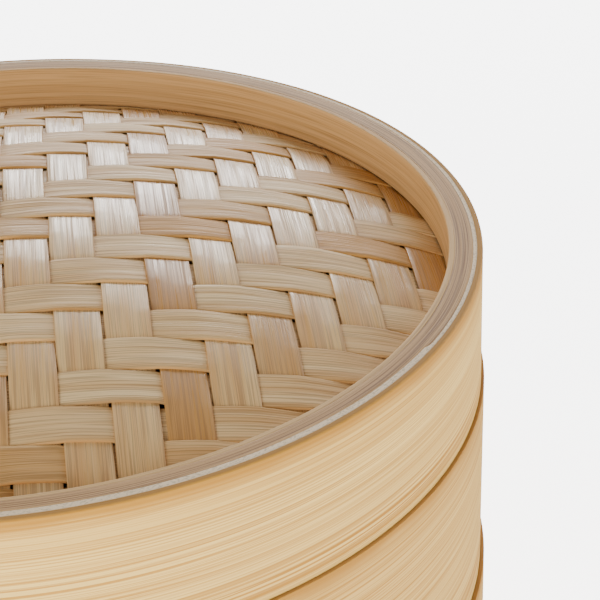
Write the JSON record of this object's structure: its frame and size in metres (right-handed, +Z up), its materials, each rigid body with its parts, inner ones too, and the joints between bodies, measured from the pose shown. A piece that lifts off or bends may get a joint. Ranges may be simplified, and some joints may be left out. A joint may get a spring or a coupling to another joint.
{
  "type": "bamboo steamer",
  "caption": "Round bamboo food steamer: stacked laminated hoops with slatted racks and a lift-off lid whose recessed top is a domed twill weave.",
  "frame": {"origin": "centre of the circle that the lower tier stands on", "axes": "+Z up along the axis of the hoops, +Y away from the front, +X to the right"},
  "size_m": [0.2576, 0.2576, 0.1586],
  "materials": {
    "hoop_veneer": "smooth planed bamboo",
    "pale_ply": "sawn edge, matt",
    "edge_ply": "planed bamboo",
    "laminate": "fine layers, matt",
    "ring": "planed bamboo",
    "weave": "satin split bamboo",
    "rack": "planed bamboo",
    "peg": "cut bamboo"
  },
  "bodies": {
    "lower_tier": {"lower_tier_base_ring": "ring", "lower_tier_clamp_ring": "ring", "lower_tier_inner_hoop": "laminate", "lower_tier_middle_ply": "pale_ply", "lower_tier_outer_hoop": "hoop_veneer", "lower_tier_rack_bar_front": "rack", "lower_tier_rack_bar_middle": "rack", "lower_tier_rack_bar_rear": "rack", "lower_tier_rack_slat_01": "rack", "lower_tier_rack_slat_02": "rack", "lower_tier_rack_slat_03": "rack", "lower_tier_rack_slat_04": "rack", "lower_tier_rack_slat_05": "rack", "lower_tier_rack_slat_06": "rack", "lower_tier_rack_slat_07": "rack", "lower_tier_rack_slat_08": "rack", "lower_tier_rack_slat_09": "rack", "lower_tier_rack_slat_10": "rack", "lower_tier_rack_slat_11": "rack", "lower_tier_ring_pegs": "peg", "lower_tier_seam_pegs": "peg"},
    "upper_tier": {"upper_tier_base_ring": "ring", "upper_tier_clamp_ring": "ring", "upper_tier_inner_hoop": "laminate", "upper_tier_middle_ply": "pale_ply", "upper_tier_outer_hoop": "hoop_veneer", "upper_tier_rack_bar_front": "rack", "upper_tier_rack_bar_middle": "rack", "upper_tier_rack_bar_rear": "rack", "upper_tier_rack_slat_01": "rack", "upper_tier_rack_slat_02": "rack", "upper_tier_rack_slat_03": "rack", "upper_tier_rack_slat_04": "rack", "upper_tier_rack_slat_05": "rack", "upper_tier_rack_slat_06": "rack", "upper_tier_rack_slat_07": "rack", "upper_tier_rack_slat_08": "rack", "upper_tier_rack_slat_09": "rack", "upper_tier_rack_slat_10": "rack", "upper_tier_rack_slat_11": "rack", "upper_tier_ring_pegs": "peg", "upper_tier_seam_pegs": "peg"},
    "lid": {"lid_bow_rib_lower": "rack", "lid_bow_rib_upper": "rack", "lid_clamp_ring": "ring", "lid_edge_hoop": "edge_ply", "lid_inner_hoop": "laminate", "lid_middle_ply": "pale_ply", "lid_outer_hoop": "hoop_veneer", "lid_ring_pegs": "peg", "lid_seam_pegs": "peg", "lid_warp_strips": "weave", "lid_weft_strips": "weave"}
  },
  "joints": [
    {"name": "upper_tier_lift", "type": "slide", "parent": "lower_tier", "child": "upper_tier", "axis": [0, 0, 1], "range_m": [0, 0.06]},
    {"name": "lid_lift", "type": "slide", "parent": "upper_tier", "child": "lid", "axis": [0, 0, 1], "range_m": [0, 0.06]}
  ]
}
